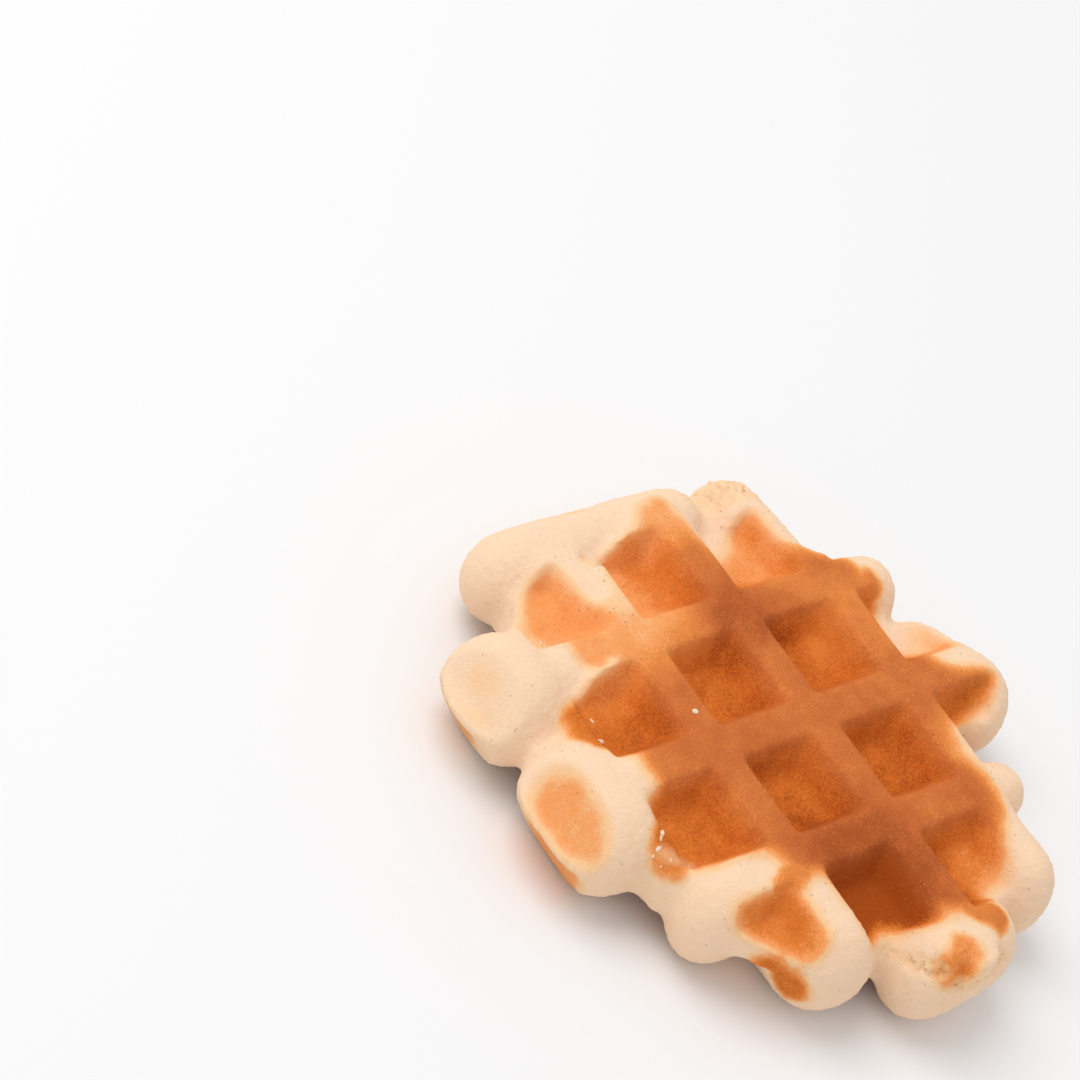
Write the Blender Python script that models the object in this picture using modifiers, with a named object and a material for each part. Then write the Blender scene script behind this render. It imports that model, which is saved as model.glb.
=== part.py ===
"""A thick, uneven Belgian waffle, baked between two plates of square studs.

Metres, +Z up. The waffle lies flat, its ribs along X and Y, with the origin under
the middle of its box. The dough is a set of rib bars, round lobes and level sheets
between them, run together; the studs and the flats of the plates then press into it
from above and from below, and the dough that they never reach keeps its round shape.
"""

import math

import bmesh
import bpy
from mathutils import Matrix

MM = 0.001

# The plates
PITCH = 22.0 * MM
RIB_TOP = 5.8 * MM
STUD_DEPTH = 5.4 * MM
STUD_WALL = 3.4 * MM
STUD_ROUNDING = 1.6 * MM
STUD_OVERLAP = 3.0 * MM
THICKNESS = 20.0 * MM
PLATE_WIDTH = 8 * PITCH
PLATE_COLUMNS = 5
PLATE_ROWS = 5

# How far the studs sit off the middle of the squares between the dough's bars
PLATE_SHIFT = (0.7 * MM, -0.3 * MM)

# The plates' left border: how far its slanted wall stands left of the first rib's middle
# line where it meets the flats, how far it leans for each unit of depth, how near it comes
# to the seam at half height, and how wide it is
BORDER_INSET = 2.5 * MM
BORDER_LEAN = 0.53
BORDER_SEAM = 0.8 * MM
BORDER_WIDTH = 2 * PITCH

# Where the first rib crossing lies, far left, seen from the middle of the waffle's box
FIRST_CROSSING = (-41.2 * MM, 43.9 * MM)

# The dough
BALL_SEGMENTS = 32
BALL_RINGS = 18
JOIN_VOXEL = 1.1 * MM
SKIN_VOXEL = 0.9 * MM
JOIN_SMOOTHING = 6
SKIN_SMOOTHING = 3
KEPT_FACES = 0.085

# Each bar or lobe of dough: where its middle line starts and ends, counted in pitches from
# the first crossing (columns to the right, rows towards the front), its half width and its
# half height in millimetres. A half height above half the thickness meets the plates' flats.
RIB_BARS = {
    "row_0_left": ((0.7, -0.02), (1.1, -0.03), 7.2, 8.7),
    "row_0": ((1.1, -0.03), (2.3, -0.03), 6.9, 8.7),
    "row_1": ((0.1, 0.95), (1.0, 1.0), 6.7, 8.7),
    "row_1_right": ((1.0, 1.0), (3.2, 1.0), 8.2, 10.9),
    "row_2": ((0.2, 2.0), (1.0, 2.0), 7.4, 10.1),
    "row_2_right": ((0.8, 2.0), (3.36, 2.0), 8.2, 10.9),
    "row_3_left": ((0.5, 3.02), (1.2, 3.02), 6.9, 9.0),
    "row_3_right": ((1.1, 3.0), (2.95, 3.0), 8.2, 10.9),
    "row_4": ((1.85, 3.98), (2.32, 3.94), 7.6, 9.7),
    "column_1_back": ((1.0, 0.1), (1.0, 0.9), 7.1, 8.8),
    "column_1": ((1.0, 0.9), (1.0, 3.1), 8.2, 10.6),
    "column_1_front": ((1.02, 2.9), (1.08, 3.59), 8.6, 9.7),
    "column_2": ((2.0, 0.1), (2.02, 3.75), 8.2, 10.8),
    "column_3_back": ((2.88, 0.06), (2.96, 1.0), 7.2, 9.1),
    "column_3": ((3.0, 0.95), (3.0, 3.1), 8.0, 10.8),
    "column_3_front": ((3.0, 3.0), (3.02, 3.66), 7.2, 9.9),
}
LOBES = {
    "left_1": ((0.0, 0.88), (0.0, 0.97), 10.0, 9.7),
    "left_2": ((0.02, 1.9), (0.02, 2.14), 10.3, 9.8),
    "left_3": ((0.46, 3.02), (0.56, 3.02), 7.0, 9.6),
    "right_1": ((3.3, 1.0), (3.55, 1.02), 6.9, 9.3),
    "right_2": ((3.7, 1.98), (3.8, 2.12), 8.7, 9.8),
    "right_2_stub": ((3.7, 1.6), (3.78, 1.72), 5.4, 6.5),
    "right_3": ((3.4, 2.9), (3.5, 2.92), 5.4, 6.0),
}

# Sheets of dough between the ribs: how far they reach below and above half height, in
# millimetres, and their outline in pitches from the first crossing, anticlockwise seen from
# above. The thick one is where the dough filled the plates.
DOUGH_SHEETS = {
    "web": (
        4.4,
        4.4,
        (
            (0.5, 0.1),
            (0.42, 0.75),
            (0.16, 1.3),
            (0.16, 1.7),
            (0.24, 2.3),
            (0.3, 2.72),
            (0.74, 3.1),
            (1.0, 3.5),
            (1.3, 3.75),
            (2.0, 4.05),
            (2.6, 3.85),
            (3.2, 3.6),
            (3.35, 2.8),
            (3.42, 1.62),
            (3.56, 1.42),
            (3.44, 1.2),
            (3.35, 0.7),
            (3.0, 0.0),
            (1.5, -0.1),
        ),
    ),
    "filled_middle": (
        12.0,
        12.0,
        (
            (1.14, 0.34),
            (1.1, 0.62),
            (0.75, 0.66),
            (0.42, 0.58),
            (0.38, 0.8),
            (0.7, 0.84),
            (0.74, 1.12),
            (0.42, 1.18),
            (0.36, 1.4),
            (0.38, 1.84),
            (0.34, 2.1),
            (0.36, 2.5),
            (0.38, 2.8),
            (0.8, 2.88),
            (0.95, 3.12),
            (1.22, 3.2),
            (1.3, 3.62),
            (1.9, 3.75),
            (2.15, 3.86),
            (2.5, 3.7),
            (2.8, 3.5),
            (3.0, 3.2),
            (2.96, 2.9),
            (2.8, 2.66),
            (3.15, 2.45),
            (3.45, 2.42),
            (3.76, 2.28),
            (3.84, 2.16),
            (3.52, 2.06),
            (3.32, 1.86),
            (3.18, 1.74),
            (3.2, 1.45),
            (3.42, 1.3),
            (3.36, 0.95),
            (3.15, 0.8),
            (2.9, 0.6),
            (2.62, 0.44),
            (2.38, 0.54),
            (2.14, 0.48),
            (2.1, -0.12),
            (1.8, -0.08),
            (1.68, 0.1),
            (1.4, 0.2),
        ),
    ),
    "back_left": (
        9.2,
        9.2,
        ((0.8, 0.12), (0.56, 0.28), (0.4, 0.5), (0.4, 0.84), (0.9, 0.84), (0.88, 0.3)),
    ),
    "back_left_floor": (
        4.4,
        6.4,
        ((0.5, 0.34), (0.24, 0.54), (0.16, 0.84), (0.5, 0.86)),
    ),
    "left_floor_back": (
        4.4,
        6.4,
        ((0.5, 1.1), (0.36, 1.14), (0.1, 1.4), (0.16, 1.6), (0.36, 1.84), (0.5, 1.86)),
    ),
    "left_floor_front": (
        4.4,
        6.4,
        ((0.5, 2.04), (0.42, 2.08), (0.26, 2.26), (0.12, 2.5), (0.14, 2.78), (0.5, 2.88)),
    ),
    "front_left": (
        0.5,
        9.5,
        ((0.32, 3.24), (0.46, 3.46), (0.68, 3.72), (0.94, 3.66), (1.06, 3.1), (0.7, 3.12)),
    ),
    "front_stub": (
        0.0,
        9.8,
        ((1.68, 4.0), (1.7, 4.28), (1.93, 4.34), (2.14, 4.29), (2.22, 4.0)),
    ),
}


def plan_point(columns, rows):
    """The place in plan of a point counted in pitches from the first crossing."""
    return (FIRST_CROSSING[0] + columns * PITCH, FIRST_CROSSING[1] - rows * PITCH)


def dough_colour():
    """Baked dough: matt and caramel brown."""
    material = bpy.data.materials.new("baked_dough")
    material.use_nodes = True
    shader = material.node_tree.nodes["Principled BSDF"]
    shader.inputs["Base Color"].default_value = (0.55, 0.2, 0.05, 1.0)
    shader.inputs["Roughness"].default_value = 0.75
    shader.inputs["Metallic"].default_value = 0.0
    return material


def new_object(name, mesh, collection):
    obj = bpy.data.objects.new(name, mesh)
    collection.objects.link(obj)
    return obj


def add_stretched_ball(shape, start, end, half_width, half_height):
    """A ball of the given half sizes, pulled out in plan from start to end."""
    run = (end[0] - start[0], end[1] - start[1])
    ball = bmesh.ops.create_uvsphere(
        shape, u_segments=BALL_SEGMENTS, v_segments=BALL_RINGS, radius=1.0
    )["verts"]
    far_half = [vert for vert in ball if vert.co.x > 1 / BALL_SEGMENTS]
    bmesh.ops.scale(shape, vec=(half_width, half_width, half_height), verts=ball)
    bmesh.ops.translate(shape, vec=(math.hypot(*run), 0.0, 0.0), verts=far_half)
    turn = Matrix.Rotation(math.atan2(run[1], run[0]), 4, "Z")
    place = Matrix.Translation((start[0], start[1], THICKNESS / 2))
    bmesh.ops.transform(shape, matrix=place @ turn, verts=ball)


def add_sheet(shape, below, above, outline):
    """A level sheet of dough with its own outline, from below to above half height."""
    low = THICKNESS / 2 - below
    corners = [shape.verts.new((*plan_point(*point), low)) for point in outline]
    face = shape.faces.new(corners)
    raised = bmesh.ops.extrude_face_region(shape, geom=[face])["geom"]
    top = [item for item in raised if isinstance(item, bmesh.types.BMVert)]
    bmesh.ops.translate(shape, vec=(0.0, 0.0, below + above), verts=top)


def dough_mesh():
    shape = bmesh.new()
    for start, end, half_width, half_height in (*RIB_BARS.values(), *LOBES.values()):
        add_stretched_ball(
            shape, plan_point(*start), plan_point(*end), half_width * MM, half_height * MM
        )
    for below, above, outline in DOUGH_SHEETS.values():
        add_sheet(shape, below * MM, above * MM, outline)
    bmesh.ops.recalc_face_normals(shape, faces=shape.faces)
    mesh = bpy.data.meshes.new("dough")
    shape.to_mesh(mesh)
    shape.free()
    return mesh


def add_stud(shape, centre, tip, root):
    """One square stud: its tip, deep in the dough, is smaller than its root."""
    slope = STUD_WALL / STUD_DEPTH
    tip_half = (PITCH - RIB_TOP) / 2 - STUD_WALL
    root_half = tip_half + abs(root - tip) * slope
    stud = bmesh.ops.create_cone(
        shape,
        cap_ends=True,
        segments=4,
        radius1=tip_half * math.sqrt(2),
        radius2=root_half * math.sqrt(2),
        depth=abs(root - tip),
    )["verts"]
    flip = Matrix.Rotation(math.pi, 4, "X") if root < tip else Matrix.Identity(4)
    turn = Matrix.Rotation(math.pi / 4, 4, "Z")
    place = Matrix.Translation((*centre, (tip + root) / 2))
    bmesh.ops.transform(shape, matrix=place @ flip @ turn, verts=stud)
    edges = {edge for vert in stud for edge in vert.link_edges}
    kept = [edge for edge in edges if any(abs(vert.co.z - root) > MM for vert in edge.verts)]
    bmesh.ops.bevel(
        shape, geom=kept, offset=STUD_ROUNDING, segments=3, profile=0.5, affect="EDGES"
    )


def add_border(shape, tip, root):
    """The plate's left border, one long block whose right side slants as the studs' do."""
    side = math.copysign(1.0, root - tip)
    flats = THICKNESS if side > 0 else 0.0
    block = bmesh.ops.create_cube(shape, size=1.0)["verts"]
    for vert in block:
        height = root if vert.co.z > 0 else tip
        wall = FIRST_CROSSING[0] - BORDER_INSET + (height - flats) * side * BORDER_LEAN
        reach = wall if vert.co.x > 0 else FIRST_CROSSING[0] - BORDER_WIDTH
        vert.co = (reach, vert.co.y * PLATE_WIDTH, height)


def plate_mesh(name, tip, root):
    """One plate: its studs, a square lattice between the ribs, and its left border."""
    shape = bmesh.new()
    add_border(shape, THICKNESS / 2 + math.copysign(BORDER_SEAM, root - tip), root)
    for column in range(PLATE_COLUMNS):
        for row in range(-1, PLATE_ROWS):
            middle = plan_point(column + 0.5, row + 0.5)
            centre = (middle[0] + PLATE_SHIFT[0], middle[1] + PLATE_SHIFT[1])
            add_stud(shape, centre, tip, root)
    bmesh.ops.recalc_face_normals(shape, faces=shape.faces)
    mesh = bpy.data.meshes.new(name)
    shape.to_mesh(mesh)
    shape.free()
    return mesh


def plate_gap(collection):
    """The space between the two plates' flats."""
    shape = bmesh.new()
    block = bmesh.ops.create_cube(shape, size=1.0)["verts"]
    bmesh.ops.scale(shape, vec=(PLATE_WIDTH, PLATE_WIDTH, THICKNESS), verts=block)
    bmesh.ops.translate(shape, vec=(0.0, 0.0, THICKNESS / 2), verts=block)
    mesh = bpy.data.meshes.new("plate_gap")
    shape.to_mesh(mesh)
    shape.free()
    return new_object("plate_gap", mesh, collection)


def as_cutter(obj):
    obj.hide_render = True
    obj.display_type = "WIRE"
    return obj


def add_remesh(obj, name, voxel):
    remesh = obj.modifiers.new(name, "REMESH")
    remesh.mode = "VOXEL"
    remesh.voxel_size = voxel


def add_smooth(obj, name, rounds):
    smooth = obj.modifiers.new(name, "SMOOTH")
    smooth.factor = 0.5
    smooth.iterations = rounds


def add_boolean(obj, name, operation, cutter):
    boolean = obj.modifiers.new(name, "BOOLEAN")
    boolean.operation = operation
    boolean.object = cutter
    boolean.solver = "EXACT"


def build():
    for old in list(bpy.data.objects):
        bpy.data.objects.remove(old, do_unlink=True)
    scene = bpy.context.scene.collection
    parts = bpy.data.collections.new("belgian_waffle")
    cutters = bpy.data.collections.new("cutters")
    scene.children.link(parts)
    scene.children.link(cutters)

    upper = plate_mesh("upper_studs", THICKNESS - STUD_DEPTH, THICKNESS + STUD_OVERLAP)
    lower = plate_mesh("lower_studs", STUD_DEPTH, -STUD_OVERLAP)
    upper_studs = as_cutter(new_object("upper_studs", upper, cutters))
    lower_studs = as_cutter(new_object("lower_studs", lower, cutters))
    gap = as_cutter(plate_gap(cutters))

    waffle = new_object("waffle", dough_mesh(), parts)
    waffle.data.materials.append(dough_colour())
    add_remesh(waffle, "run_together", JOIN_VOXEL)
    add_smooth(waffle, "soften", JOIN_SMOOTHING)
    add_boolean(waffle, "press_upper", "DIFFERENCE", upper_studs)
    add_boolean(waffle, "press_lower", "DIFFERENCE", lower_studs)
    add_remesh(waffle, "skin", SKIN_VOXEL)
    add_smooth(waffle, "round_creases", SKIN_SMOOTHING)
    thin = waffle.modifiers.new("fewer_faces", "DECIMATE")
    thin.ratio = KEPT_FACES
    thin.use_collapse_triangulate = True
    add_boolean(waffle, "press_flats", "INTERSECT", gap)


build()
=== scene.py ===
"""A thick, uneven Belgian waffle on a pale table.

The dough is a set of rib bars, round lobes and level sheets, run together as it rises.
Two plates of square studs press into it. It browns where they touch it, deeper where
they press harder, and stays cream coloured where it swelled free. Sugar and crumbs lie
on it.
"""

import math

import bmesh
import bpy
from mathutils import Matrix, Vector


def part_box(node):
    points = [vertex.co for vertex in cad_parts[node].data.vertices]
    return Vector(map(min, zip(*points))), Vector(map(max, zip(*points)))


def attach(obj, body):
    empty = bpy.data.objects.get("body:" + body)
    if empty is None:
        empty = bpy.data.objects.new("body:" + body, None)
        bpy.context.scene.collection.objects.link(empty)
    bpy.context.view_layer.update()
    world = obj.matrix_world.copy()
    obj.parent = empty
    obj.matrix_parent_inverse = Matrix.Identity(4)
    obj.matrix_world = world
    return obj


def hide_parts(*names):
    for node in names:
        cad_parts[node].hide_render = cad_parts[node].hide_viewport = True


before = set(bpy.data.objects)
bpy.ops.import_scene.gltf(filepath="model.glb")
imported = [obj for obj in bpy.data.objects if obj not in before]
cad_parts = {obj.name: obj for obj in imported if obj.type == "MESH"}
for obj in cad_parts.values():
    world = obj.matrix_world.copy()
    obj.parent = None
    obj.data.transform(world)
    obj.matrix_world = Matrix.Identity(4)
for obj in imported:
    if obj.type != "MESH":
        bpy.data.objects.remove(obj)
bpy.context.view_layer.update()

MM = 0.001

# The plates. The studs narrow over STUD_WALL from root to tip, and stand STUD_CLEARANCE
# times as high as they press, so that their roots are clear of the dough. The blocks that
# cut the left border and the flats are CUTTER_REACH wide.
PITCH = 22.0 * MM
RIB_TOP = 5.8 * MM
STUD_DEPTH = 5.4 * MM
STUD_WALL = 3.4 * MM
STUD_CLEARANCE = 1.5
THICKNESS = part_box("waffle")[1][2]
PLATE_SHIFT = (0.7 * MM, -0.3 * MM)
PLATE_COLUMNS = 5
PLATE_ROWS = 6
BORDER_INSET = 2.5 * MM
BORDER_LEAN = 0.53
BORDER_SEAM = 0.8 * MM
CUTTER_REACH = 8 * PITCH
CUTTER_HEIGHT = 8 * MM
FIRST_CROSSING = (-41.2 * MM, 43.9 * MM)

# The dough: how finely its lumps, and then its skin, are run together and smoothed
JOIN_VOXEL = 1.0 * MM
JOIN_SMOOTHING = 7
SKIN_VOXEL = 0.6 * MM
SKIN_SMOOTHING = 7
BALL_SEGMENTS = 48
BALL_RINGS = 28

# The skin: how high its swells and grain are, with how many waves in each metre. Skin that
# was pushed back further than SKIN_SMOOTH_FROM keeps only PRESSED_SKIN_SHARE of that. A
# whole tear lies between the two depths below.
SWELL_HEIGHT = 0.5 * MM
SWELL_WAVES = 75.0
GRAIN_HEIGHT = 0.6 * MM
GRAIN_WAVES = 900.0
PRESSED_SKIN_SHARE = 0.3
SKIN_SMOOTH_FROM = 0.7 * MM
TORN_SHALLOW = -0.1 * MM
TORN_DEEP = -1.0 * MM

# Each bar or lobe of dough: where its middle line starts and ends, counted in pitches from
# the first crossing (columns to the right, rows towards the front), its half width and its
# half height in millimetres. A half height above half the thickness meets the plates' flats.
RIB_BARS = {
    "row_0_left": ((0.7, -0.02), (1.1, -0.03), 7.2, 8.7),
    "row_0": ((1.1, -0.03), (2.3, -0.03), 6.9, 8.7),
    "row_1": ((0.1, 0.95), (1.0, 1.0), 6.7, 8.7),
    "row_1_right": ((1.0, 1.0), (3.2, 1.0), 8.2, 10.9),
    "row_2": ((0.2, 2.0), (1.0, 2.0), 7.4, 10.1),
    "row_2_right": ((0.8, 2.0), (3.36, 2.0), 8.2, 10.9),
    "row_3_left": ((0.5, 3.02), (1.2, 3.02), 6.9, 9.0),
    "row_3_right": ((1.1, 3.0), (2.95, 3.0), 8.2, 10.9),
    "row_4": ((1.85, 3.98), (2.32, 3.94), 7.6, 9.7),
    "column_1_back": ((1.0, 0.1), (1.0, 0.9), 7.1, 8.8),
    "column_1": ((1.0, 0.9), (1.0, 3.1), 8.2, 10.6),
    "column_1_front": ((1.02, 2.9), (1.08, 3.59), 8.6, 9.7),
    "column_2": ((2.0, 0.1), (2.02, 3.75), 8.2, 10.8),
    "column_3_back": ((2.88, 0.06), (2.96, 1.0), 7.2, 9.1),
    "column_3": ((3.0, 0.95), (3.0, 3.1), 8.0, 10.8),
    "column_3_front": ((3.0, 3.0), (3.02, 3.66), 7.2, 9.9),
}
LOBES = {
    "left_1": ((0.0, 0.88), (0.0, 0.97), 10.0, 9.7),
    "left_2": ((0.02, 1.9), (0.02, 2.14), 10.3, 9.8),
    "left_3": ((0.46, 3.02), (0.56, 3.02), 7.0, 9.6),
    "right_1": ((3.3, 1.0), (3.55, 1.02), 6.9, 9.3),
    "right_2": ((3.7, 1.98), (3.8, 2.12), 8.7, 9.8),
    "right_2_stub": ((3.7, 1.6), (3.78, 1.72), 5.4, 6.5),
    "right_3": ((3.4, 2.9), (3.5, 2.92), 5.4, 6.0),
}

# Sheets of dough between the ribs: how far they reach below and above half height, in
# millimetres, and their outline in pitches from the first crossing, anticlockwise seen from
# above. The thick one is where the dough filled the plates.
DOUGH_SHEETS = {
    "web": (
        4.4,
        4.4,
        (
            (0.5, 0.1),
            (0.42, 0.75),
            (0.16, 1.3),
            (0.16, 1.7),
            (0.24, 2.3),
            (0.3, 2.72),
            (0.74, 3.1),
            (1.0, 3.5),
            (1.3, 3.75),
            (2.0, 4.05),
            (2.6, 3.85),
            (3.2, 3.6),
            (3.35, 2.8),
            (3.42, 1.62),
            (3.56, 1.42),
            (3.44, 1.2),
            (3.35, 0.7),
            (3.0, 0.0),
            (1.5, -0.1),
        ),
    ),
    "filled_middle": (
        12.0,
        12.0,
        (
            (1.14, 0.34),
            (1.1, 0.62),
            (0.75, 0.66),
            (0.42, 0.58),
            (0.38, 0.8),
            (0.7, 0.84),
            (0.74, 1.12),
            (0.42, 1.18),
            (0.36, 1.4),
            (0.38, 1.84),
            (0.34, 2.1),
            (0.36, 2.5),
            (0.38, 2.8),
            (0.8, 2.88),
            (0.95, 3.12),
            (1.22, 3.2),
            (1.3, 3.62),
            (1.9, 3.75),
            (2.15, 3.86),
            (2.5, 3.7),
            (2.8, 3.5),
            (3.0, 3.2),
            (2.96, 2.9),
            (2.8, 2.66),
            (3.15, 2.45),
            (3.45, 2.42),
            (3.76, 2.28),
            (3.84, 2.16),
            (3.52, 2.06),
            (3.32, 1.86),
            (3.18, 1.74),
            (3.2, 1.45),
            (3.42, 1.3),
            (3.36, 0.95),
            (3.15, 0.8),
            (2.9, 0.6),
            (2.62, 0.44),
            (2.38, 0.54),
            (2.14, 0.48),
            (2.1, -0.12),
            (1.8, -0.08),
            (1.68, 0.1),
            (1.4, 0.2),
        ),
    ),
    "back_left": (
        9.2,
        9.2,
        ((0.8, 0.12), (0.56, 0.28), (0.4, 0.5), (0.4, 0.84), (0.9, 0.84), (0.88, 0.3)),
    ),
    "back_left_floor": (
        4.4,
        6.4,
        ((0.5, 0.34), (0.24, 0.54), (0.16, 0.84), (0.5, 0.86)),
    ),
    "left_floor_back": (
        4.4,
        6.4,
        ((0.5, 1.1), (0.36, 1.14), (0.1, 1.4), (0.16, 1.6), (0.36, 1.84), (0.5, 1.86)),
    ),
    "left_floor_front": (
        4.4,
        6.4,
        ((0.5, 2.04), (0.42, 2.08), (0.26, 2.26), (0.12, 2.5), (0.14, 2.78), (0.5, 2.88)),
    ),
    "front_left": (
        0.5,
        9.5,
        ((0.32, 3.24), (0.46, 3.46), (0.68, 3.72), (0.94, 3.66), (1.06, 3.1), (0.7, 3.12)),
    ),
    "front_stub": (
        0.0,
        9.8,
        ((1.68, 4.0), (1.7, 4.28), (1.93, 4.34), (2.14, 4.29), (2.22, 4.0)),
    ),
}

# How brown the crust gets where the plates push the free dough back, from BROWNS_FROM to
# BROWNS_FULLY, and how ragged the edge of the brown is. The edge of a touched patch or a
# tear is PATCH_RAGGEDNESS times as ragged. A cold plate has to push COOL_LAG further. A
# spot or patch has its whole effect over the core share of its reach.
USUAL_BROWNING = 0.89
LEAST_BROWNING = 0.03
MOTTLING = 0.3
BROWNS_FROM = 0.05 * MM
BROWNS_FULLY = 0.9 * MM
COOL_LAG = 0.5 * MM
EDGE_SOFTENING = 12
RAGGED_EDGE = 0.9 * MM
RAGGED_WAVES = 260.0
PATCH_RAGGEDNESS = 3.0
SPOT_CORE = 0.3
PATCH_CORE = 0.35

# Places where the plates run hotter or cooler: the middle of each, in pitches, how far it
# reaches, also in pitches, and the change there
HEAT_SPOTS = {
    "left_lobe_back": ((-0.4, 0.95), 1.0, -0.8),
    "left_lobe_front": ((-0.4, 2.0), 1.0, -0.5),
    "back_left_pit": ((0.6, 0.5), 1.25, -0.48),
    "back_rib": ((1.35, 0.95), 0.6, -0.16),
    "back_pit": ((1.5, 0.3), 0.9, -0.17),
    "back_rim": ((1.95, -0.1), 0.6, -0.42),
    "back_right_rim": ((2.8, -0.1), 0.44, -0.8),
    "front_pit": ((1.5, 3.4), 0.9, 0.22),
    "front_right_pit": ((2.72, 3.5), 0.42, -0.2),
    "left_pit": ((0.6, 2.6), 0.7, -0.1),
    "right_rib": ((3.0, 1.35), 0.6, -0.16),
    "right_rib_front": ((3.12, 2.6), 0.42, -0.24),
    "dark_crossing": ((2.0, 1.05), 0.45, 0.16),
    "right_stub": ((3.68, 1.55), 0.4, -0.7),
    "right_lobe_front": ((3.8, 2.5), 0.34, -0.8),
    "back_right_pit": ((2.6, 0.5), 0.55, -0.36),
    "front_left_pit": ((0.7, 3.4), 0.7, -0.26),
}

# Free dough that a plate only just touched: where each patch starts and ends (pitches,
# pitches, millimetres above the table), its reach in millimetres and how brown it got
TOUCHED_PLACES = {
    "left_pit_back": ((0.26, 1.42, 15.5), (0.24, 1.6, 16.0), 5.4, 0.8),
    "left_pit_front": ((0.3, 2.46, 15.5), (0.22, 2.62, 16.0), 5.0, 0.8),
    "front_stub_top": ((1.74, 4.2, 17.0), (1.86, 4.12, 19.8), 4.2, 0.56),
    "front_rib_end": ((2.16, 3.82, 20.0), (2.32, 3.98, 19.4), 4.2, 0.72),
    "front_lobe_top": ((0.8, 3.2, 18.5), (1.0, 3.1, 19.5), 3.6, 0.62),
    "front_lobe_side": ((0.56, 3.6, 10.5), (0.7, 3.72, 8.6), 5.2, 0.76),
    "left_rib_top": ((0.64, 0.94, 18.1), (1.0, 1.0, 19.2), 6.2, 0.38),
    "left_lobe_top": ((-0.24, 0.83, 14.8), (-0.22, 0.87, 14.8), 4.0, 0.08),
    "left_edge_back": ((-0.19, 0.7, 3.3), (-0.19, 0.9, 3.3), 4.4, 0.3),
    "left_edge_front": ((-0.19, 1.9, 3.6), (-0.19, 2.2, 3.6), 6.0, 0.36),
    "right_lobe_top": ((3.26, 1.2, 17.5), (3.38, 1.14, 18.6), 4.8, 0.7),
}

# Where the dough is torn and crumbly: where each tear starts and ends, as above, its reach
# in millimetres and how deep it is, as a share of a whole tear
TORN_PLACES = {
    "front_crack": ((1.5, 3.84, 13.6), (1.66, 4.17, 16.4), 2.4, 1.1),
    "front_edge": ((1.8, 4.3, 15.0), (2.25, 4.2, 15.0), 3.6, 1.1),
    "back_corner": ((2.55, -0.14, 16.0), (2.98, 0.0, 18.4), 6.0, 1.2),
    "right_edge": ((3.34, 1.4, 15.0), (3.36, 1.6, 15.0), 3.4, 0.7),
    "left_join": ((0.16, 2.6, 16.0), (0.32, 2.74, 14.5), 3.2, 0.6),
    "back_crevice": ((1.14, 0.2, 17.5), (1.19, 0.3, 18.0), 1.8, 0.9),
}

# Loose sugar lies at these places, in pitches, and crumbs where the dough is torn, so many
# for each square metre of a whole tear. Each grain is turned by up to MOST_TURN, in
# radians, and stretched to between the smallest and the largest share of its size.
SUGAR_SIZE = 0.65 * MM
CRUMB_SIZE = 0.36 * MM
CRUMBS_WHERE_TORN = 4.0e5
SMALLEST_GRAIN = (0.25, 0.3, 0.25)
LARGEST_GRAIN = (1.3, 1.1, 0.9)
MOST_TURN = (6.28, 6.28, 6.28)
SUGAR_PLACES = (
    (0.41, 0.7),
    (0.43, 0.72),
    (0.23, 2.45),
    (0.2, 2.48),
    (0.14, 2.54),
    (1.04, 1.71),
    (0.39, 1.41),
    (0.32, 1.59),
)

# Colours as seen, 0 to 255. A step is how brown the crust is and its colour there.
BROWNING_COLOURS = (
    (0.0, (252, 217, 184)),
    (0.14, (252, 205, 156)),
    (0.4, (248, 164, 98)),
    (0.66, (228, 130, 54)),
    (0.84, (208, 108, 36)),
    (1.0, (168, 76, 18)),
)
RIDGE_COLOURS = ((0.48, (228, 140, 78)), (0.74, (202, 108, 54)), (0.92, (168, 82, 36)))
PORE_COLOUR = (176, 104, 56)
FLECK_COLOUR = (255, 214, 160)
SPECK_COLOUR = (150, 84, 48)
TORN_COLOUR = (255, 210, 158)
SUGAR_COLOUR = (252, 232, 206)
CRUMB_COLOUR = (255, 216, 170)

# The crust's blotches, speckle, pores, pale flecks, dark specks and dusty ridges: how many
# in each metre, and how strong. The ridges are dusty down to RIDGE_DEPTH.
BLOTCH_WAVES = 300.0
BLOTCH_STRENGTH = 0.34
SPECKLE_WAVES = 2300.0
SPECKLE_STRENGTH = 0.8
PORES = 800.0
PORE_GROUPS = 220.0
PORE_BEND = 0.5 * MM
PORE_STRENGTH = 0.45
FLECK_STRENGTH = 0.25
SPECK_STRENGTH = 0.22
TORN_STRENGTH = 0.45
RIDGE_DEPTH = 3.2 * MM
RIDGE_STRENGTH = 0.9
RIDGE_LIGHTNESS = 0.8
BUMP_HEIGHT = 0.22 * MM

# The studio
TABLE_COLOUR = (0.885, 0.885, 0.895, 1.0)
TABLE_HALF_WIDTH = 3.0
SKY_STRENGTH = 0.74
SOFTBOX_DIRECTION = (-0.28, 0.44, 0.9)
SOFTBOX_DISTANCE = 1.2
SOFTBOX_WIDTH = 0.9
SOFTBOX_POWER = 6.1
SOFTBOX_COLOUR = (1.0, 0.99, 0.97)

# The camera: where its axis meets the table, how far off it stands, and how it is turned
AIM = (-4.6 * MM, 55.0 * MM, 0.0)
CAMERA_DISTANCE = 0.6701
CAMERA_AZIMUTH = -149.83
CAMERA_HEIGHT_ANGLE = 41.73
CAMERA_ROLL = 33.16
LENS = 133.33
SENSOR = 36.0


def plan_point(columns, rows):
    """The place in plan of a point counted in pitches from the first crossing."""
    return (FIRST_CROSSING[0] + columns * PITCH, FIRST_CROSSING[1] - rows * PITCH)


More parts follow.
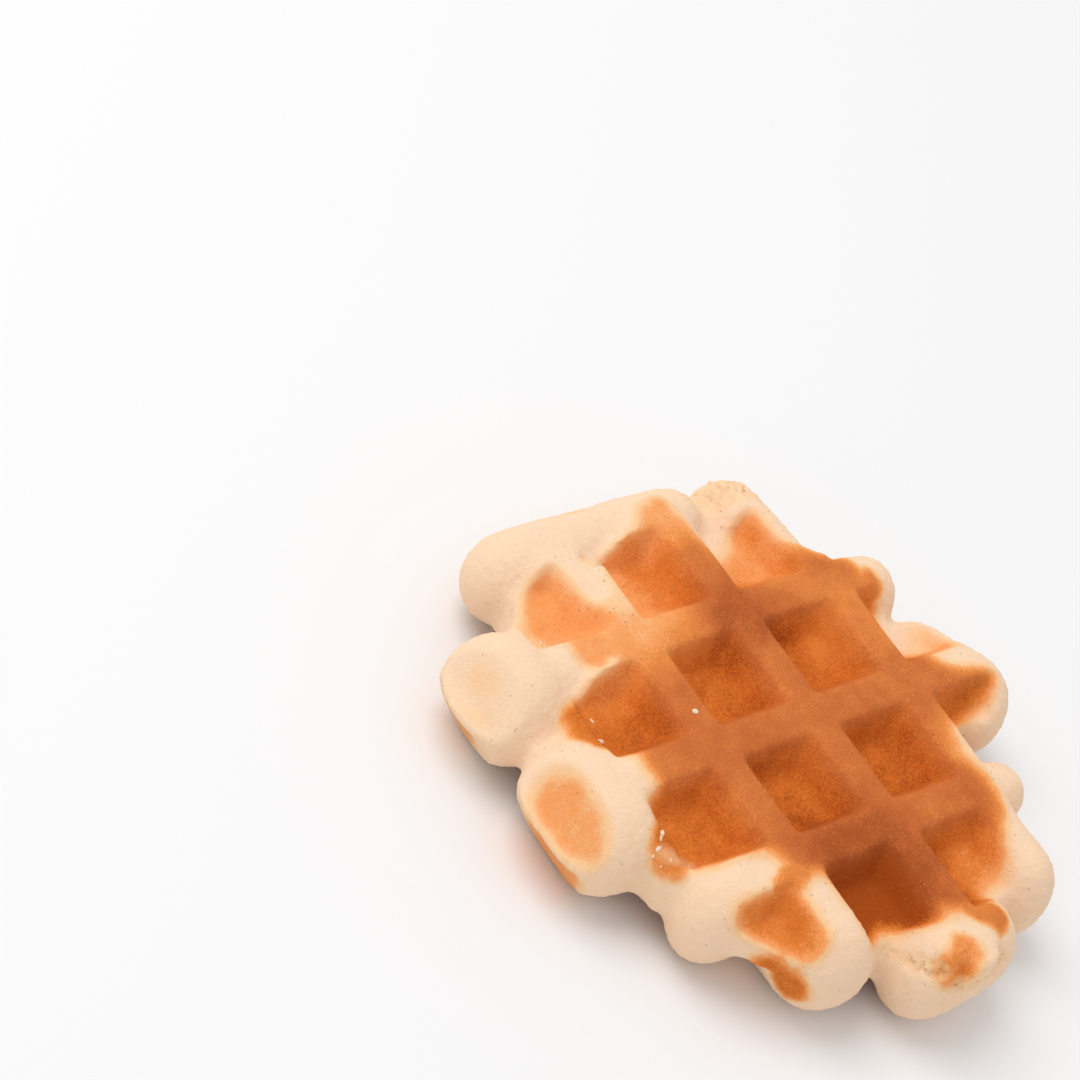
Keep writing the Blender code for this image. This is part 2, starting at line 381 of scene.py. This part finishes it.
def new_object(name, data):
    """An object in the scene that holds a mesh, a lamp or a camera."""
    obj = bpy.data.objects.new(name, data)
    bpy.context.scene.collection.objects.link(obj)
    return obj


def settled(obj, name):
    """A plain mesh object of what obj's modifiers make of it, and obj is removed."""
    graph = bpy.context.evaluated_depsgraph_get()
    mesh = bpy.data.meshes.new_from_object(obj.evaluated_get(graph), depsgraph=graph)
    old = obj.data
    bpy.data.objects.remove(obj, do_unlink=True)
    if not old.users:
        bpy.data.meshes.remove(old)
    mesh.name = name
    return new_object(name, mesh)


def srgb(red, green, blue):
    """A colour as seen, 0 to 255, in the linear values that a shader takes."""
    shares = [channel / 255 for channel in (red, green, blue)]
    linear = [c / 12.92 if c <= 0.04045 else ((c + 0.055) / 1.055) ** 2.4 for c in shares]
    return (*linear, 1.0)


class Recipe:
    """A node tree under construction: it adds nodes and joins them by socket."""

    def __init__(self, tree):
        self.tree = tree

    def node(self, kind, settings=None, **inputs):
        made = self.tree.nodes.new(kind)
        for key, value in (settings or {}).items():
            setattr(made, key, value)
        for key, value in inputs.items():
            self.feed(self.find(made, key), value)
        return made

    def find(self, node, key):
        """An input by its number, as in_0, or by its name, with _ for a space."""
        if key.startswith("in_"):
            return node.inputs[int(key[3:])]
        return node.inputs[key.replace("_", " ")]

    def feed(self, socket, value):
        if isinstance(value, bpy.types.NodeSocket):
            self.tree.links.new(value, socket)
        elif isinstance(value, bpy.types.Node):
            self.tree.links.new(value.outputs[0], socket)
        else:
            socket.default_value = value

    def math(self, operation, first, second=0.0, third=0.0):
        made = self.node("ShaderNodeMath", {"operation": operation}, in_0=first, in_1=second)
        if operation == "MULTIPLY_ADD":
            self.feed(made.inputs[2], third)
        return made.outputs[0]

    def vector(self, operation, first, second=(0.0, 0.0, 0.0)):
        made = self.node("ShaderNodeVectorMath", {"operation": operation}, in_0=first)
        self.feed(made.inputs["Scale" if operation == "SCALE" else 1], second)
        gives_number = operation in ("DISTANCE", "DOT_PRODUCT")
        return made.outputs["Value" if gives_number else "Vector"]

    def ramp(self, value, low, high, to_low=0.0, to_high=1.0):
        """value from low to high, eased into to_low to to_high."""
        made = self.node("ShaderNodeMapRange", {"interpolation_type": "SMOOTHSTEP"})
        for socket, given in zip(made.inputs[:5], (value, low, high, to_low, to_high)):
            self.feed(socket, given)
        return made.outputs[0]


class GeometryRecipe(Recipe):
    """A Geometry Nodes tree with named inputs, which a modifier then sets."""

    def __init__(self, name):
        super().__init__(bpy.data.node_groups.new(name, "GeometryNodeTree"))
        self.tree.interface.new_socket(
            name="Geometry", in_out="INPUT", socket_type="NodeSocketGeometry"
        )
        self.tree.interface.new_socket(
            name="Geometry", in_out="OUTPUT", socket_type="NodeSocketGeometry"
        )
        self.start = self.node("NodeGroupInput")
        self.end = self.node("NodeGroupOutput")
        self.values = {}

    def geometry(self):
        return self.start.outputs["Geometry"]

    def given(self, name, value, kind="Float"):
        """A named input of the tree, with the value that the modifier gives it."""
        socket = self.tree.interface.new_socket(
            name=name, in_out="INPUT", socket_type=f"NodeSocket{kind}"
        )
        self.values[socket.identifier] = value
        return self.start.outputs[name]

    def finish_with(self, geometry, material=None):
        whole = self.node("GeometryNodeRealizeInstances", Geometry=geometry)
        if material:
            whole = self.node("GeometryNodeSetMaterial", Geometry=whole, Material=material)
        self.feed(self.end.inputs["Geometry"], whole)

    def worked_on(self, obj, name):
        modifier = obj.modifiers.new(self.tree.name, "NODES")
        modifier.node_group = self.tree
        for identifier, value in self.values.items():
            modifier[identifier] = value
        return settled(obj, name)


def add_stretched_ball(shape, start, end, half_width, half_height):
    """A ball of the given half sizes, pulled out in plan from start to end."""
    run = (end[0] - start[0], end[1] - start[1])
    length = math.hypot(*run)
    ball = bmesh.ops.create_uvsphere(
        shape, u_segments=BALL_SEGMENTS, v_segments=BALL_RINGS, radius=1.0
    )["verts"]
    bmesh.ops.scale(shape, vec=(half_width, half_width, half_height), verts=ball)
    far_half = [vert for vert in ball if vert.co.x > half_width * 0.01]
    bmesh.ops.translate(shape, vec=(length, 0.0, 0.0), verts=far_half)
    turn = Matrix.Rotation(math.atan2(run[1], run[0]), 4, "Z")
    place = Matrix.Translation((start[0], start[1], THICKNESS / 2))
    bmesh.ops.transform(shape, matrix=place @ turn, verts=ball)


def add_sheet(shape, below, above, outline):
    """A level sheet of dough with its own outline, from below to above half height."""
    low = THICKNESS / 2 - below
    corners = [shape.verts.new((*plan_point(*point), low)) for point in outline]
    face = shape.faces.new(corners)
    raised = bmesh.ops.extrude_face_region(shape, geom=[face])["geom"]
    top = [item for item in raised if isinstance(item, bmesh.types.BMVert)]
    bmesh.ops.translate(shape, vec=(0.0, 0.0, below + above), verts=top)


def risen_dough():
    """The dough as it would rise with no plates round it."""
    shape = bmesh.new()
    for start, end, half_width, half_height in (*RIB_BARS.values(), *LOBES.values()):
        add_stretched_ball(
            shape, plan_point(*start), plan_point(*end), half_width * MM, half_height * MM
        )
    for below, above, outline in DOUGH_SHEETS.values():
        add_sheet(shape, below * MM, above * MM, outline)
    bmesh.ops.recalc_face_normals(shape, faces=shape.faces)
    mesh = bpy.data.meshes.new("dough_lumps")
    shape.to_mesh(mesh)
    shape.free()
    dough = new_object("dough_lumps", mesh)
    add_remesh(dough, JOIN_VOXEL)
    add_smooth(dough, JOIN_SMOOTHING)
    return settled(dough, "risen_dough")


def add_remesh(obj, voxel):
    remesh = obj.modifiers.new("run_together", "REMESH")
    remesh.mode = "VOXEL"
    remesh.voxel_size = voxel


def add_smooth(obj, rounds):
    smooth = obj.modifiers.new("soften", "SMOOTH")
    smooth.factor = 0.5
    smooth.iterations = rounds


def stud_lattice(recipe, pitch, columns, rows, depth, wall, rib_top):
    """One plate's studs, points down, their tips at height 0, as realized instances."""
    slope = recipe.math("DIVIDE", wall, depth)
    height = recipe.math("MULTIPLY", depth, STUD_CLEARANCE)
    root = recipe.math("MULTIPLY", recipe.math("SUBTRACT", pitch, rib_top), 0.5)
    tip = recipe.math("SUBTRACT", root, wall)
    far = recipe.math("MULTIPLY_ADD", height, slope, tip)
    stud = recipe.node(
        "GeometryNodeMeshCone",
        Vertices=4,
        Radius_Top=recipe.math("MULTIPLY", far, math.sqrt(2)),
        Radius_Bottom=recipe.math("MULTIPLY", tip, math.sqrt(2)),
        Depth=height,
    )
    turned = recipe.node(
        "GeometryNodeTransform", Geometry=stud.outputs["Mesh"], Rotation=(0, 0, math.pi / 4)
    )
    span_x = recipe.math("MULTIPLY", recipe.math("SUBTRACT", columns, 1.0), pitch)
    span_y = recipe.math("MULTIPLY", recipe.math("SUBTRACT", rows, 1.0), pitch)
    places = recipe.node(
        "GeometryNodeMeshGrid",
        Size_X=span_x,
        Size_Y=span_y,
        Vertices_X=columns,
        Vertices_Y=rows,
    )
    corner = recipe.node(
        "ShaderNodeCombineXYZ",
        X=recipe.math("MULTIPLY", recipe.math("ADD", span_x, pitch), 0.5),
        Y=recipe.math("MULTIPLY", recipe.math("SUBTRACT", span_y, pitch), -0.5),
        Z=0.0,
    )
    moved = recipe.node("GeometryNodeTransform", Geometry=places.outputs["Mesh"])
    recipe.feed(moved.inputs["Translation"], corner.outputs[0])
    studs = recipe.node(
        "GeometryNodeInstanceOnPoints", Points=moved, Instance=turned.outputs["Geometry"]
    )
    return recipe.node("GeometryNodeRealizeInstances", Geometry=studs).outputs[0]


def pressed_between_plates(dough):
    """The dough with the studs of both plates and their left border pressed in."""
    recipe = GeometryRecipe("press_between_plates")
    pitch = recipe.given("Pitch", PITCH)
    depth = recipe.given("Stud Depth", STUD_DEPTH)
    wall = recipe.given("Stud Wall", STUD_WALL)
    rib_top = recipe.given("Rib Top", RIB_TOP)
    thickness = recipe.given("Thickness", THICKNESS)
    columns = recipe.given("Columns", PLATE_COLUMNS, "Int")
    rows = recipe.given("Rows", PLATE_ROWS, "Int")
    first = (FIRST_CROSSING[0] + PLATE_SHIFT[0], FIRST_CROSSING[1] + PLATE_SHIFT[1], 0.0)
    crossing = recipe.given("First Crossing", first, "Vector")
    borders = plate_borders()
    border = recipe.given("Border", borders, "Object")

    studs = stud_lattice(recipe, pitch, columns, rows, depth, wall, rib_top)
    upper_height = recipe.math("SUBTRACT", thickness, depth)
    upper = recipe.node(
        "GeometryNodeTransform",
        Geometry=studs,
        Translation=recipe.node("ShaderNodeCombineXYZ", X=0.0, Y=0.0, Z=upper_height),
    )
    lower = recipe.node(
        "GeometryNodeTransform",
        Geometry=studs,
        Translation=recipe.node("ShaderNodeCombineXYZ", X=0.0, Y=0.0, Z=depth),
        Scale=(1.0, 1.0, -1.0),
    )
    turned_back = recipe.node("GeometryNodeFlipFaces", Mesh=lower)
    both = recipe.node("GeometryNodeJoinGeometry")
    for side in (upper, turned_back):
        recipe.tree.links.new(side.outputs[0], both.inputs[0])
    plates = recipe.node("GeometryNodeTransform", Geometry=both, Translation=crossing)
    border_shape = recipe.node("GeometryNodeObjectInfo", Object=border)
    press = recipe.node(
        "GeometryNodeMeshBoolean",
        {"operation": "DIFFERENCE", "solver": "EXACT"},
        Self_Intersection=True,
    )
    recipe.feed(press.inputs["Mesh 1"], recipe.geometry())
    recipe.tree.links.new(plates.outputs[0], press.inputs["Mesh 2"])
    recipe.tree.links.new(border_shape.outputs["Geometry"], press.inputs["Mesh 2"])
    recipe.finish_with(press.outputs["Mesh"])

    pressed = recipe.worked_on(dough, "pressed_dough")
    bpy.data.objects.remove(borders, do_unlink=True)
    return pressed


def plate_borders():
    """Both plates' left borders and the flats above and below, as blocks to cut with."""
    shape = bmesh.new()
    for side in (1, -1):
        seam = THICKNESS / 2 + side * BORDER_SEAM
        flats = THICKNESS if side > 0 else 0.0
        middle = flats + side * CUTTER_HEIGHT / 2
        block = bmesh.ops.create_cube(shape, size=1.0)["verts"]
        for vert in block:
            height = middle if vert.co.z * side > 0 else seam
            lean = (height - flats) * side * BORDER_LEAN
            wall = FIRST_CROSSING[0] - BORDER_INSET + lean
            reach = wall if vert.co.x > 0 else FIRST_CROSSING[0] - 2 * PITCH
            vert.co = (reach, vert.co.y * CUTTER_REACH, height)
        flat = bmesh.ops.create_cube(shape, size=1.0)["verts"]
        bmesh.ops.scale(shape, vec=(CUTTER_REACH, CUTTER_REACH, CUTTER_HEIGHT), verts=flat)
        bmesh.ops.translate(shape, vec=(0.0, 0.0, middle), verts=flat)
    bmesh.ops.recalc_face_normals(shape, faces=shape.faces)
    mesh = bpy.data.meshes.new("plate_borders")
    shape.to_mesh(mesh)
    shape.free()
    return new_object("plate_borders", mesh)


def far_from_line(recipe, place, start, end):
    """How far place is from the line between two points, each in pitches and millimetres."""
    first, last = (Vector((*plan_point(*point[:2]), point[2] * MM)) for point in (start, end))
    run = last - first
    offset = recipe.vector("SUBTRACT", place, first)
    along = recipe.vector("DOT_PRODUCT", offset, run / run.length_squared)
    along = recipe.math("MINIMUM", recipe.math("MAXIMUM", along, 0.0), 1.0)
    return recipe.vector("DISTANCE", offset, recipe.vector("SCALE", run, along))


def baked_waffle(crust):
    """The waffle's own surface, with how hard the plates pressed it kept at each point."""
    dough = risen_dough()
    free_dough = new_object("free_dough", dough.data.copy())
    waffle = pressed_between_plates(dough)
    add_remesh(waffle, SKIN_VOXEL)
    add_smooth(waffle, SKIN_SMOOTHING)
    waffle = settled(waffle, "smooth_waffle")

    recipe = GeometryRecipe("bake_the_crust")
    free = recipe.given("Free Dough", free_dough, "Object")
    unevenness = recipe.given("Unevenness", SWELL_HEIGHT)
    grain = recipe.given("Grain", GRAIN_HEIGHT)
    usual = recipe.given("Usual Browning", USUAL_BROWNING)
    free_shape = recipe.node("GeometryNodeObjectInfo", Object=free)
    near = recipe.node("GeometryNodeProximity", {"target_element": "FACES"})
    recipe.tree.links.new(free_shape.outputs["Geometry"], near.inputs[0])
    place = recipe.node("GeometryNodeInputPosition").outputs[0]
    in_plan = recipe.vector("MULTIPLY", place, (1.0, 1.0, 0.0))
    swell = recipe.node("ShaderNodeTexNoise", Vector=place, Scale=SWELL_WAVES, Detail=1.0)
    ragged = recipe.node("ShaderNodeTexNoise", Vector=place, Scale=RAGGED_WAVES, Detail=2.0)
    fine = recipe.node("ShaderNodeTexNoise", Vector=place, Scale=GRAIN_WAVES, Detail=2.0)

    heat = usual
    for (columns, rows), reach, change in HEAT_SPOTS.values():
        centre = (*plan_point(columns, rows), 0.0)
        away = recipe.vector("DISTANCE", in_plan, centre)
        spot = recipe.ramp(away, SPOT_CORE * reach * PITCH, reach * PITCH, change, 0.0)
        heat = recipe.math("ADD", heat, spot)
    coolness = recipe.math("MAXIMUM", recipe.math("SUBTRACT", usual, heat), 0.0)
    uneven = recipe.math("MULTIPLY_ADD", ragged.outputs[0], RAGGED_EDGE, -RAGGED_EDGE / 2)
    depth = recipe.math("ADD", near.outputs["Distance"], uneven)
    depth = recipe.math("MULTIPLY_ADD", coolness, -COOL_LAG, depth)
    pressed = recipe.ramp(depth, BROWNS_FROM, BROWNS_FULLY)
    spread = recipe.node(
        "GeometryNodeBlurAttribute",
        {"data_type": "FLOAT"},
        in_0=pressed,
        Iterations=EDGE_SOFTENING,
    )
    mottled = recipe.math("MULTIPLY_ADD", swell.outputs[0], MOTTLING, -MOTTLING / 2)
    heat = recipe.math("MAXIMUM", recipe.math("ADD", heat, mottled), LEAST_BROWNING)
    browning = recipe.math("MULTIPLY", spread.outputs[0], heat)
    for start, end, reach, change in TOUCHED_PLACES.values():
        away = far_from_line(recipe, place, start, end)
        away = recipe.math("MULTIPLY_ADD", uneven, PATCH_RAGGEDNESS, away)
        touched = recipe.ramp(away, PATCH_CORE * reach * MM, reach * MM, change, 0.0)
        browning = recipe.math("MAXIMUM", browning, touched)
    torn = 0.0
    for start, end, reach, tear in TORN_PLACES.values():
        away = far_from_line(recipe, place, start, end)
        away = recipe.math("MULTIPLY_ADD", uneven, PATCH_RAGGEDNESS, away)
        torn = recipe.math("MAXIMUM", torn, recipe.ramp(away, 0.0, reach * MM, tear, 0.0))

    kept = recipe.geometry()
    for name, value in (("browning", browning), ("torn", torn)):
        kept = recipe.node(
            "GeometryNodeStoreNamedAttribute",
            {"data_type": "FLOAT", "domain": "POINT"},
            Geometry=kept,
            Name=name,
            Value=value,
        )
    free_share = recipe.ramp(
        near.outputs["Distance"], 0.0, SKIN_SMOOTH_FROM, 1.0, PRESSED_SKIN_SHARE
    )
    lift = recipe.math("MULTIPLY", recipe.math("SUBTRACT", swell.outputs[0], 0.5), unevenness)
    lift = recipe.math("MULTIPLY", lift, free_share)
    rough = recipe.math("MULTIPLY", recipe.math("SUBTRACT", fine.outputs[0], 0.5), grain)
    rough = recipe.math("MULTIPLY", rough, free_share)
    crumb = recipe.ramp(fine.outputs[0], 0.35, 0.65, TORN_SHALLOW, TORN_DEEP)
    lift = recipe.math("MULTIPLY_ADD", torn, crumb, lift)
    normal = recipe.node("GeometryNodeInputNormal")
    move = recipe.vector("SCALE", normal.outputs[0], recipe.math("ADD", lift, rough))
    moved = recipe.node("GeometryNodeSetPosition", Geometry=kept, Offset=move)
    smooth = recipe.node("GeometryNodeSetShadeSmooth", Geometry=moved)
    recipe.finish_with(smooth, crust)
    waffle = recipe.worked_on(waffle, "baked_waffle")
    bpy.data.objects.remove(free_dough, do_unlink=True)
    return waffle


def shader_recipe(name):
    material = bpy.data.materials.new(name)
    material.use_nodes = True
    recipe = Recipe(material.node_tree)
    shader = material.node_tree.nodes["Principled BSDF"]
    return material, recipe, shader


def colour_steps(recipe, value, steps):
    """A colour that follows value through the steps, each (place, colour as seen)."""
    ramp = recipe.node("ShaderNodeValToRGB", in_0=value)
    band = ramp.color_ramp
    band.interpolation = "EASE"
    while len(band.elements) < len(steps):
        band.elements.new(0.5)
    for element, (place, colour) in zip(band.elements, steps):
        element.position = place
        element.color = srgb(*colour)
    return ramp.outputs["Color"]


def mixed(recipe, share, first, second):
    made = recipe.node("ShaderNodeMix", {"data_type": "RGBA"})
    recipe.feed(made.inputs["Factor"], share)
    recipe.feed(made.inputs[6], first)
    recipe.feed(made.inputs[7], second)
    return made.outputs[2]


def crust_material():
    """Baked dough: cream where it swelled free, through orange to caramel where pressed."""
    material, recipe, shader = shader_recipe("baked_crust")
    place = recipe.node("ShaderNodeTexCoord").outputs["Object"]
    browning = recipe.node("ShaderNodeAttribute", {"attribute_name": "browning"}).outputs["Fac"]
    torn = recipe.node("ShaderNodeAttribute", {"attribute_name": "torn"}).outputs["Fac"]
    patches = recipe.node("ShaderNodeTexNoise", Vector=place, Scale=BLOTCH_WAVES, Detail=4.0)
    grain = recipe.node(
        "ShaderNodeTexNoise", Vector=place, Scale=SPECKLE_WAVES, Detail=3.0, Roughness=0.75
    )
    blotch = recipe.math(
        "MULTIPLY_ADD", patches.outputs[0], BLOTCH_STRENGTH, -BLOTCH_STRENGTH / 2
    )
    level = recipe.math("MULTIPLY_ADD", blotch, recipe.ramp(browning, 0.02, 0.3), browning)
    speckle = recipe.math("MULTIPLY_ADD", grain.outputs[0], SPECKLE_STRENGTH, -0.42)
    level = recipe.math("MULTIPLY_ADD", speckle, recipe.ramp(browning, 0.05, 0.6), level)
    colour = colour_steps(recipe, level, BROWNING_COLOURS)

    height = recipe.node("ShaderNodeSeparateXYZ", in_0=place).outputs["Z"]
    from_middle = recipe.math("ABSOLUTE", recipe.math("SUBTRACT", height, THICKNESS / 2))
    ridge = recipe.ramp(from_middle, THICKNESS / 2 - RIDGE_DEPTH, THICKNESS / 2)
    dusty = recipe.math("MULTIPLY", ridge, recipe.ramp(level, 0.45, 0.9, 0.0, RIDGE_STRENGTH))
    ridge_level = recipe.math("MULTIPLY", level, RIDGE_LIGHTNESS)
    colour = mixed(recipe, dusty, colour, colour_steps(recipe, ridge_level, RIDGE_COLOURS))

    bend = recipe.vector("SCALE", grain.outputs["Color"], PORE_BEND)
    pores = recipe.node(
        "ShaderNodeTexVoronoi", Vector=recipe.vector("ADD", place, bend), Scale=PORES
    )
    pore = recipe.ramp(pores.outputs["Distance"], 0.04, 0.17, 1.0, 0.0)
    some = recipe.node("ShaderNodeTexNoise", Vector=place, Scale=PORE_GROUPS)
    pore = recipe.math("MULTIPLY", pore, recipe.ramp(some.outputs[0], 0.47, 0.6))
    pore_share = recipe.math("MULTIPLY", pore, PORE_STRENGTH)
    colour = mixed(recipe, pore_share, colour, srgb(*PORE_COLOUR))
    fleck = recipe.math("MULTIPLY", recipe.ramp(grain.outputs[0], 0.58, 0.78), FLECK_STRENGTH)
    colour = mixed(recipe, fleck, colour, srgb(*FLECK_COLOUR))
    speck = recipe.math("MULTIPLY", recipe.ramp(grain.outputs[0], 0.46, 0.26), SPECK_STRENGTH)
    colour = mixed(recipe, speck, colour, mixed(recipe, 0.5, colour, srgb(*SPECK_COLOUR)))
    crumb = recipe.ramp(torn, 0.1, 0.6, 0.0, TORN_STRENGTH)
    colour = mixed(recipe, crumb, colour, srgb(*TORN_COLOUR))
    recipe.feed(shader.inputs["Base Color"], colour)
    shader.inputs["Roughness"].default_value = 0.85
    shader.inputs["Specular IOR Level"].default_value = 0.12
    shader.inputs["Subsurface Weight"].default_value = 0.12
    shader.inputs["Subsurface Radius"].default_value = (1.0, 0.5, 0.25)
    shader.inputs["Subsurface Scale"].default_value = 0.0015
    relief = recipe.math("MULTIPLY_ADD", pore, -0.5, grain.outputs[0])
    bump = recipe.node("ShaderNodeBump", Height=relief, Strength=1.0, Distance=BUMP_HEIGHT)
    recipe.feed(shader.inputs["Normal"], bump.outputs[0])
    return material


def grain_material(name, colour, roughness):
    """Sugar or crumb: its colour, a little darker in places."""
    material, recipe, shader = shader_recipe(name)
    colour = srgb(*colour)
    darker = (*(channel * 0.85 for channel in colour[:3]), 1.0)
    place = recipe.node("ShaderNodeTexCoord").outputs["Object"]
    shade = recipe.node("ShaderNodeTexNoise", Vector=place, Scale=1500.0, Detail=2.0)
    recipe.feed(
        shader.inputs["Base Color"],
        mixed(recipe, recipe.ramp(shade.outputs[0], 0.35, 0.7), colour, darker),
    )
    shader.inputs["Roughness"].default_value = roughness
    return material


def loose_grains(name, waffle, places, size, per_torn, seed, material):
    """Small grains lying on the crust: at the places given, and where it is torn."""
    recipe = GeometryRecipe(name)
    surface = recipe.given("Crust", waffle, "Object")
    grain_size = recipe.given("Grain Size", size)
    density = recipe.given("Grains Where Torn", per_torn)
    shuffle = recipe.given("Seed", seed, "Int")
    crust = recipe.node("GeometryNodeObjectInfo", Object=surface).outputs["Geometry"]
    down = recipe.node("GeometryNodeRaycast", in_0=crust, Ray_Length=2 * THICKNESS)
    landed = recipe.node(
        "GeometryNodeSetPosition",
        Geometry=recipe.geometry(),
        Position=down.outputs["Hit Position"],
    )
    torn = recipe.node("GeometryNodeInputNamedAttribute", {"data_type": "FLOAT"}, Name="torn")
    normal = recipe.node("ShaderNodeSeparateXYZ", in_0=recipe.node("GeometryNodeInputNormal"))
    faces_up = recipe.ramp(normal.outputs["Z"], -0.2, 0.4)
    tear = recipe.math("MULTIPLY", torn.outputs[0], faces_up)
    strewn = recipe.node(
        "GeometryNodeDistributePointsOnFaces",
        Mesh=crust,
        Density=recipe.math("MULTIPLY", tear, density),
        Seed=shuffle,
    )
    points = recipe.node("GeometryNodeJoinGeometry")
    recipe.tree.links.new(landed.outputs[0], points.inputs[0])
    recipe.tree.links.new(strewn.outputs["Points"], points.inputs[0])
    grain = recipe.node("GeometryNodeMeshIcoSphere", Radius=grain_size, Subdivisions=1)
    turn = recipe.node("FunctionNodeRandomValue", {"data_type": "FLOAT_VECTOR"}, Seed=shuffle)
    recipe.feed(turn.inputs[1], MOST_TURN)
    stretch = recipe.node("FunctionNodeRandomValue", {"data_type": "FLOAT_VECTOR"}, Seed=shuffle)
    recipe.feed(stretch.inputs[0], SMALLEST_GRAIN)
    recipe.feed(stretch.inputs[1], LARGEST_GRAIN)
    grains = recipe.node(
        "GeometryNodeInstanceOnPoints",
        Points=points,
        Instance=grain.outputs["Mesh"],
        Rotation=turn.outputs[0],
        Scale=stretch.outputs[0],
    )
    recipe.finish_with(grains, material)
    starts = [(*plan_point(*place), THICKNESS * 1.5) for place in places]
    mesh = bpy.data.meshes.new(name)
    mesh.from_pydata(starts, [], [])
    return recipe.worked_on(new_object(name, mesh), name)


def table_material():
    material, _, shader = shader_recipe("pale_table")
    shader.inputs["Base Color"].default_value = TABLE_COLOUR
    shader.inputs["Roughness"].default_value = 0.9
    shader.inputs["Specular IOR Level"].default_value = 0.1
    return material


def add_table():
    shape = bmesh.new()
    bmesh.ops.create_grid(shape, x_segments=1, y_segments=1, size=TABLE_HALF_WIDTH)
    mesh = bpy.data.meshes.new("table")
    shape.to_mesh(mesh)
    shape.free()
    table = new_object("table", mesh)
    mesh.materials.append(table_material())


def add_studio():
    """A plain white sky and one large soft lamp."""
    world = bpy.data.worlds.new("studio")
    world.use_nodes = True
    sky = world.node_tree.nodes["Background"]
    sky.inputs["Color"].default_value = (1.0, 1.0, 1.0, 1.0)
    sky.inputs["Strength"].default_value = SKY_STRENGTH
    bpy.context.scene.world = world
    bpy.context.scene.view_settings.view_transform = "Standard"

    light = bpy.data.lights.new("softbox", "AREA")
    light.shape = "DISK"
    light.size = SOFTBOX_WIDTH
    light.energy = SOFTBOX_POWER
    light.color = SOFTBOX_COLOUR
    lamp = new_object("softbox", light)
    lamp.location = Vector(SOFTBOX_DIRECTION).normalized() * SOFTBOX_DISTANCE
    lamp.rotation_euler = (-lamp.location).to_track_quat("-Z", "Y").to_euler()


def add_camera():
    """The photo's view: an orbit round AIM, rolled to the way the waffle lies there."""
    azimuth = math.radians(CAMERA_AZIMUTH)
    height = math.radians(CAMERA_HEIGHT_ANGLE)
    away = Vector(
        (
            math.cos(height) * math.cos(azimuth),
            math.cos(height) * math.sin(azimuth),
            math.sin(height),
        )
    )
    view = bpy.data.cameras.new("camera")
    view.lens = LENS
    view.sensor_width = SENSOR
    camera = new_object("camera", view)
    turn = (-away).to_track_quat("-Z", "Y").to_matrix().to_4x4()
    roll = Matrix.Rotation(math.radians(CAMERA_ROLL), 4, "Z")
    spot = Matrix.Translation(Vector(AIM) + away * CAMERA_DISTANCE)
    camera.matrix_world = spot @ turn @ roll
    bpy.context.scene.camera = camera


add_camera()
add_studio()
add_table()
waffle = baked_waffle(crust_material())
sugar = loose_grains(
    "sugar_grains",
    waffle,
    places=SUGAR_PLACES,
    size=SUGAR_SIZE,
    per_torn=0.0,
    seed=4,
    material=grain_material("sugar", SUGAR_COLOUR, 0.4),
)
crumbs = loose_grains(
    "crumbs",
    waffle,
    places=(),
    size=CRUMB_SIZE,
    per_torn=CRUMBS_WHERE_TORN,
    seed=11,
    material=grain_material("crumb", CRUMB_COLOUR, 0.9),
)
for piece in (waffle, sugar, crumbs):
    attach(piece, "root")
    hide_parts("waffle")
